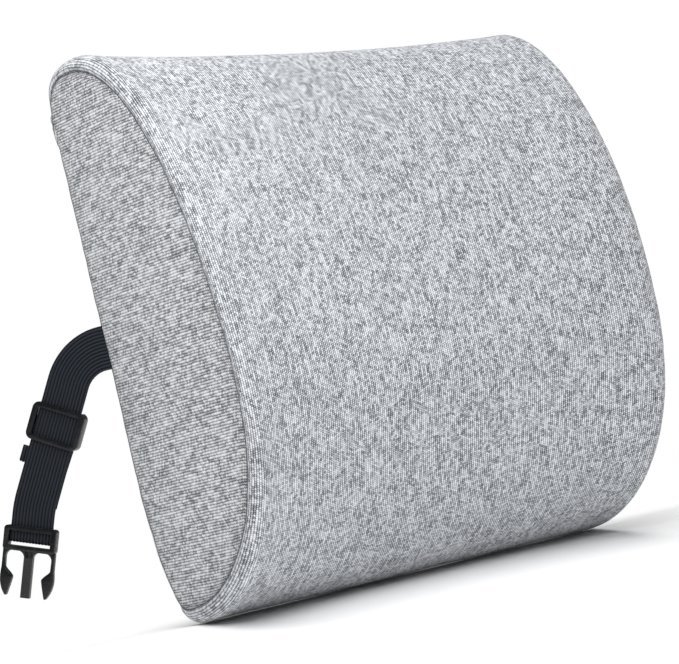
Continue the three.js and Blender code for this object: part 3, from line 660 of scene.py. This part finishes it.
COIL_WIRE = 0.00034
COIL_PITCH = 0.0014
COIL_RADIUS, COIL_FLATNESS = 0.001, 0.56
WIRE_SIDES, COIL_STEPS = 6, 10
LIE_BACK, LIE_DOWN = 0.485929, 0.873999  # how the zipper lies on the rear bottom corner
across_axis = Vector((0, -LIE_BACK, -LIE_DOWN))
out_axis = Vector((0, LIE_DOWN, -LIE_BACK))
coil_finish = Finish("nylon_coil", roughness=0.38, specular_ior_level=0.5)
place, *_ = coil_finish.place("Object")
tone = coil_finish.speckle(place, 400.0)
coil_finish.connect(base_color=coil_finish.ramp(tone, (0.3, (0.20, 0.21, 0.22)),
                                                (0.7, (0.32, 0.33, 0.35))),
                    roughness=0.3 + tone * 0.2)
for name in ("zip_coil_lower", "zip_coil_upper"):
    low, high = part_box(name)
    centre = (low + high) / 2
    turns = int((high.x - low.x - 2 * COIL_WIRE) / COIL_PITCH)
    bpy.ops.mesh.primitive_circle_add(vertices=WIRE_SIDES, radius=COIL_WIRE, fill_type="NOTHING",
                                      location=(low.x + COIL_WIRE, 0, COIL_RADIUS),
                                      rotation=(math.pi / 2, 0, 0))
    coil = bpy.context.object
    coil.name = name + "_wire"
    bpy.ops.object.transform_apply(location=True, rotation=True)
    bpy.ops.object.modifier_add(type="SCREW")
    screw = coil.modifiers[-1]
    screw.axis = "X"
    screw.screw_offset = COIL_PITCH
    screw.iterations = turns
    screw.steps = screw.render_steps = COIL_STEPS
    bpy.ops.object.modifier_apply(modifier=screw.name)
    bpy.ops.object.mode_set(mode="EDIT")
    bpy.ops.mesh.select_all(action="SELECT")
    bpy.ops.mesh.normals_make_consistent(inside=False)
    bpy.ops.mesh.select_all(action="DESELECT")
    bpy.ops.mesh.select_non_manifold()
    bpy.ops.mesh.edge_face_add()
    bpy.ops.object.mode_set(mode="OBJECT")
    coil_points = positions(coil.data)
    coil_points[:, 2] *= COIL_FLATNESS
    turned = coil_points.copy()
    turned[:, 1] = centre.y + coil_points[:, 1] * across_axis.y + coil_points[:, 2] * out_axis.y
    turned[:, 2] = centre.z + coil_points[:, 1] * across_axis.z + coil_points[:, 2] * out_axis.z
    put(coil.data, turned)
    coil.data.materials.append(coil_finish.material)
    bpy.ops.object.shade_smooth()
    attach(coil, "cushion")
    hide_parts(name)

# ---- Straps ------------------------------------------------------------------------------
# Black ribbed elastic webbing, 25 mm wide, caught in the rear side seams. The left strap goes
# through the tri-glide and round the buckle's bar, and its sewn end loops back over the
# tri-glide. The right strap is folded round its buckle's bar and stitched down.

WEBBING_WIDTH, WEBBING = 0.025, 0.0011
WEBBING_RIBS, STEPS_PER_RIB, WEBBING_RELIEF = 13, 6, 0.0002
SEAM_HEADING, HANG_HEADING, END_HEADING = (math.radians(a) for a in (90, 29, 18.5))
TURN_RADIUS = 0.0275
EASE_START, EASE_LENGTH = 0.0972, 0.011
HINGE_OUT = 0.0003
GAP = 0.0003
BAR_RADIUS = 0.0011
LOOP_RADIUS = BAR_RADIUS + GAP + WEBBING / 2
LAYER = WEBBING + GAP
GLIDE_PLACE, BUCKLE_PLACE, SOCKET_PLACE = 0.0552, 0.1216, 0.108
HEM_LENGTH = 0.026
GLIDE_DOWN, LEG_OVERLAP = 0.012, 0.008
HEM_END = GLIDE_PLACE + HEM_LENGTH
RETURN_TOP = HEM_END + GLIDE_DOWN + 2 * GAP
LEG_END = RETURN_TOP + LEG_OVERLAP
RUN_END, RUN_STEP = 0.16, 0.0005
PATH_STEP, BEND_STEPS = 0.0022, 13

run_steps = np.arange(0, RUN_END, RUN_STEP)
turn_done = np.minimum(run_steps + RUN_STEP / 2, TURN_RADIUS * (SEAM_HEADING - HANG_HEADING))
eased = np.clip((run_steps + RUN_STEP / 2 - EASE_START) / EASE_LENGTH, 0, 1)
headings = SEAM_HEADING - turn_done / TURN_RADIUS + eased * (END_HEADING - HANG_HEADING)
strap_out = np.concatenate([[0], np.cumsum(RUN_STEP * np.sin(headings))])
strap_drop = np.concatenate([[0], np.cumsum(RUN_STEP * np.cos(headings))])
strap_runs = np.append(run_steps, RUN_END)


def strap_point(side, splay, off, along, across):
    """A point of a strap: off its face, along it from the seam, and across it."""
    tilt = np.interp(along, run_steps, headings)
    out = np.interp(along, strap_runs, strap_out) + min(along, 0) + across * math.cos(tilt)
    drop = np.interp(along, strap_runs, strap_drop) - across * math.sin(tilt)
    away = math.pi - splay if side < 0 else splay
    return Vector((side * (WIDTH / 2 + HINGE_OUT) + out * math.cos(away) - off * math.sin(away),
                   out * math.sin(away) + off * math.cos(away), middle - drop))


def stretch(off, start, stop):
    count = max(1, round(abs(stop - start) / PATH_STEP))
    return [(off, start + (stop - start) * i / count) for i in range(count + 1)]


def bend(off, along, start, stop):
    return [(off + LOOP_RADIUS * math.cos(a), along + LOOP_RADIUS * math.sin(a))
            for a in np.linspace(start, stop, BEND_STEPS)]


web_finish = Finish("black_ribbed_elastic", roughness=0.55, sheen_weight=0.02,
                    sheen_roughness=0.4, specular_ior_level=0.15)
place, across, along, _ = web_finish.place("UV")
rib = (across * (WEBBING_RIBS / WEBBING_WIDTH)).wave()
pick = (along / 0.0009 + (across * (WEBBING_RIBS * 2 / WEBBING_WIDTH)).wave() * 0.5).wave()
fuzz = web_finish.speckle(web_finish.stretched(place, (1800, 700, 1)), 1.0, 2.0)
# Painted highlight: the colour is lighter in a stripe along each rib. The pick and fuzz terms are
# the webbing's own tone.
web_finish.connect(
    base_color=web_finish.ramp((rib * 0.75 + pick * 0.2 + fuzz * 0.3 - 0.15).kept(),
                               (0.15, (0.001, 0.0015, 0.003)), (0.85, (0.024, 0.03, 0.042))),
    roughness=0.45 + fuzz * 0.25)
web_finish.bumped(pick * 0.6 + fuzz * 0.5, 0.0002)


def webbing(name, side, splay, path, aside=0.0):
    """A ribbed ribbon along a path of (off the face, along the strap)."""
    columns_across = STEPS_PER_RIB * WEBBING_RIBS
    mesh = bmesh.new()
    layer = mesh.loops.layers.uv.new("UVMap")
    length = [0.0]
    for (a, b), (c, d) in zip(path, path[1:]):
        length.append(length[-1] + math.hypot(c - a, d - b))
    rows = []
    for i, (off, along) in enumerate(path):
        before, after = path[max(0, i - 1)], path[min(len(path) - 1, i + 1)]
        run = Vector((after[0] - before[0], after[1] - before[1])).normalized()
        row = []
        for j in range(columns_across + 1):
            share = j / columns_across
            relief = WEBBING_RELIEF * math.cos(2 * math.pi * WEBBING_RIBS * share)
            row.append(mesh.verts.new(strap_point(
                side, splay, off + relief * run.y, along - relief * run.x,
                aside + WEBBING_WIDTH * (share - 0.5))))
        rows.append(row)
    for i in range(len(path) - 1):
        for j in range(columns_across):
            face = mesh.faces.new((rows[i][j], rows[i][j + 1], rows[i + 1][j + 1],
                                   rows[i + 1][j]))
            face.smooth = True
            shares = [WEBBING_WIDTH * k / columns_across for k in (j, j + 1, j + 1, j)]
            for loop, place_across, place_along in zip(
                    face.loops, shares, (length[i], length[i], length[i + 1], length[i + 1])):
                loop[layer].uv = (place_across, place_along)
    data = bpy.data.meshes.new(name)
    mesh.to_mesh(data)
    mesh.free()
    data.materials.append(web_finish.material)
    made = bpy.data.objects.new(name, data)
    bpy.context.collection.objects.link(made)
    choose_only(made)
    bpy.ops.object.modifier_add(type="SOLIDIFY")
    made.modifiers[-1].thickness = WEBBING
    made.modifiers[-1].offset = 0
    bpy.ops.object.modifier_apply(modifier=made.modifiers[-1].name)
    return made, length[-1]


LEFT_SPLAY, RIGHT_SPLAY = math.radians(55), math.radians(58)
BEHIND = -2 * LAYER
TUCK = -0.0042
loop_off = -LAYER - LOOP_RADIUS
STRAPS = (
    ("left_strap_webbing", "left_strap", "left_strap", -1, LEFT_SPLAY,
     stretch(0, TUCK, BUCKLE_PLACE - GAP)
     + bend(-LOOP_RADIUS, BUCKLE_PLACE, 0, math.pi)
     + [(-2 * LOOP_RADIUS, BUCKLE_PLACE - LOOP_RADIUS)]
     + stretch(-LAYER, BUCKLE_PLACE - 4 * LOOP_RADIUS, RETURN_TOP)),
    ("strap_end_webbing", "adjuster", "strap_end_loop", -1, LEFT_SPLAY,
     stretch(BEHIND, LEG_END, HEM_END - LAYER)
     + [(loop_off - LOOP_RADIUS, GLIDE_PLACE + 2 * LOOP_RADIUS)]
     + bend(loop_off, GLIDE_PLACE, math.pi, 2 * math.pi)
     + stretch(-LAYER, GLIDE_PLACE + 2 * LOOP_RADIUS, HEM_END)),
    ("right_strap_webbing", "right_strap", "right_strap", 1, RIGHT_SPLAY,
     stretch(0, TUCK, SOCKET_PLACE - GAP)
     + bend(-LOOP_RADIUS, SOCKET_PLACE, 0, math.pi)
     + [(-2 * LOOP_RADIUS, SOCKET_PLACE - LOOP_RADIUS)]
     + stretch(-LAYER, SOCKET_PLACE - 4 * LOOP_RADIUS, SOCKET_PLACE - HEM_LENGTH)),
)
for name, ridden, node, side, splay, path in STRAPS:
    strap, cut = webbing(name, side, splay, path)
    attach(strap, ridden)
    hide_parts(node)

# The sewn end's folded hem stands out as a short tab beside the strap, below the tri-glide.
TAB_START, TAB_LENGTH, TAB_ASIDE = 0.0714, 0.0084, 0.005
tab_end = TAB_START + TAB_LENGTH
tab, cut = webbing("hem_tab_webbing", -1, LEFT_SPLAY,
                   stretch(BEHIND - LAYER, TAB_START, tab_end)
                   + [(BEHIND - 1.5 * LAYER, tab_end + LAYER / 2)]
                   + stretch(BEHIND - 2 * LAYER, tab_end, TAB_START), TAB_ASIDE)
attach(tab, "adjuster")

# ---- Tri-glide and buckle ----------------------------------------------------------------
# Black acetal mouldings: a tri-glide, the frame and stem of the male half of a side-release
# buckle, and the female half on the right strap. Their edges are eased by the mould.

MERGING = 0.00001
SHARP = math.radians(40)
acetal = Finish("black_acetal", roughness=0.25, specular_ior_level=0.4)
place, *_ = acetal.place("Object")
grain = acetal.speckle(place, 1500.0, 2.0)
scuff = acetal.speckle(acetal.stretched(place, (1, 1, 3)), 190.0, 4.0, 0.7)
acetal.connect(base_color=acetal.ramp(scuff, (0.4, (0.0025, 0.003, 0.004)),
                                      (0.75, (0.008, 0.009, 0.011))),
               roughness=0.14 + scuff * 0.2 + grain * 0.06)
acetal.bumped(grain * 0.4 + scuff * 0.6, 0.00008)


def moulding(node, name, ridden, easing):
    """A CAD piece with its faces merged and its edges eased."""
    made = bpy.data.objects.new(name, nodes[node].data.copy())
    bpy.context.collection.objects.link(made)
    choose_only(made)
    bpy.ops.object.mode_set(mode="EDIT")
    bpy.ops.mesh.select_all(action="SELECT")
    bpy.ops.mesh.remove_doubles(threshold=MERGING)
    bpy.ops.mesh.dissolve_limited(angle_limit=math.radians(2))
    bpy.ops.object.mode_set(mode="OBJECT")
    bpy.ops.object.modifier_add(type="BEVEL")
    bevel = made.modifiers[-1]
    bevel.width = easing
    bevel.segments = 3
    bevel.limit_method = "ANGLE"
    bevel.angle_limit = SHARP
    bpy.ops.object.modifier_apply(modifier=bevel.name)
    bpy.ops.object.shade_smooth_by_angle(angle=SHARP)
    made.data.materials.clear()
    made.data.materials.append(acetal.material)
    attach(made, ridden)
    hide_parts(node)


for node, name, ridden, easing in (
        ("tri_glide", "tri_glide_moulding", "adjuster", 0.0005),
        ("male_buckle", "male_buckle_moulding", "male_half", 0.00045),
        ("female_buckle", "female_buckle_moulding", "female_half", 0.0005)):
    moulding(node, name, ridden, easing)

# ---- Prongs and stem root ----------------------------------------------------------------
# The male half is one acetal moulding: its stem widens into the rail, and each prong is a thin
# arm that is rounded into the rail and ends in a leaf-shaped barbed head.

BUCKLE_HALF, FRAME_HALF, FRAME_MIDDLE = (WEBBING_WIDTH + 0.0065) / 2, 0.007, -0.00035
STEM_HALF, PRONG_ARM, PRONG_THICKNESS = 0.0026, 0.0017, 0.0034
FILLET, ROOT_OVERLAP, EDGE_EASING = 0.0042, 0.0005, 0.0004
# Each step of a prong's head: down from the rail, the outer edge and the inner edge.
HEAD = ((0.0100, 0.0, 0.0019), (0.0114, -0.0002, 0.0032), (0.0131, -0.0003, 0.0052),
        (0.0147, -0.0004, 0.0066), (0.0158, -0.0004, 0.0068), (0.0180, -0.0002, 0.0063),
        (0.0205, 0.0004, 0.0057), (0.0230, 0.0014, 0.0050), (0.0250, 0.0026, 0.0045),
        (0.0260, 0.0034, 0.0041))
origin = strap_point(-1, LEFT_SPLAY, 0, BUCKLE_PLACE, 0)
crosswise = strap_point(-1, LEFT_SPLAY, 0, BUCKLE_PLACE, 1) - origin
facing = strap_point(-1, LEFT_SPLAY, 1, BUCKLE_PLACE, 0) - origin
upward = crosswise.cross(facing)
buckle_turn = Matrix((crosswise, upward, -facing)).transposed().to_4x4()


def fillet_steps(half):
    """Down from the rail and half width, as a root narrows through its fillet."""
    return [(FILLET * (1 - math.cos(a)), half + FILLET * (1 - math.sin(a)))
            for a in np.linspace(0, math.pi / 2, 8)]


def drawn(name, ridden, outline_points):
    """A flat moulding with eased edges, from its outline across and down the buckle."""
    curve = bpy.data.curves.new(name, "CURVE")
    curve.dimensions = "2D"
    curve.fill_mode = "BOTH"
    curve.extrude = PRONG_THICKNESS / 2 - EDGE_EASING
    curve.bevel_depth = EDGE_EASING
    curve.bevel_resolution = 2
    curve.offset = -EDGE_EASING
    spline = curve.splines.new("POLY")
    spline.use_cyclic_u = True
    spline.points.add(len(outline_points) - 1)
    for knot, (across, down) in zip(spline.points, outline_points):
        knot.co = (across, -FRAME_HALF - down, 0, 1)
    curve.materials.append(acetal.material)
    made = bpy.data.objects.new(name, curve)
    bpy.context.collection.objects.link(made)
    choose_only(made)
    bpy.ops.object.convert(target="MESH")
    made = bpy.context.object
    made.matrix_world = Matrix.Translation(origin + FRAME_MIDDLE * facing) @ buckle_turn
    bpy.ops.object.transform_apply()
    bpy.ops.object.mode_set(mode="EDIT")
    bpy.ops.mesh.select_all(action="SELECT")
    bpy.ops.mesh.remove_doubles(threshold=MERGING)
    bpy.ops.mesh.normals_make_consistent(inside=False)
    bpy.ops.object.mode_set(mode="OBJECT")
    bpy.ops.object.shade_smooth_by_angle(angle=SHARP)
    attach(made, ridden)
    return made


ARM_START = 0.004  # down from the rail, where an arm's outer edge starts
root = [(-ROOT_OVERLAP, STEM_HALF + FILLET)] + fillet_steps(STEM_HALF)
drawn("stem_root_moulding", "male_half",
      [(half, down) for down, half in root] + [(-half, down) for down, half in root[::-1]])
for name, ridden, node, side in (
        ("left_prong_moulding", "prong_left", "male_prong_left", 1),
        ("right_prong_moulding", "prong_right", "male_prong_right", -1)):
    inner = ([(-ROOT_OVERLAP, PRONG_ARM + FILLET)] + fillet_steps(PRONG_ARM)
             + [(down, inside) for down, _, inside in HEAD])
    outer = sorted([(down, outside) for down, outside, _ in HEAD]
                   + [(ARM_START, 0), (-ROOT_OVERLAP, 0)], reverse=True)
    prong = drawn(name, ridden,
                  [(side * (BUCKLE_HALF - inside), down) for down, inside in inner]
                  + [(side * (BUCKLE_HALF - outside), down) for down, outside in outer])
    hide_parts(node)
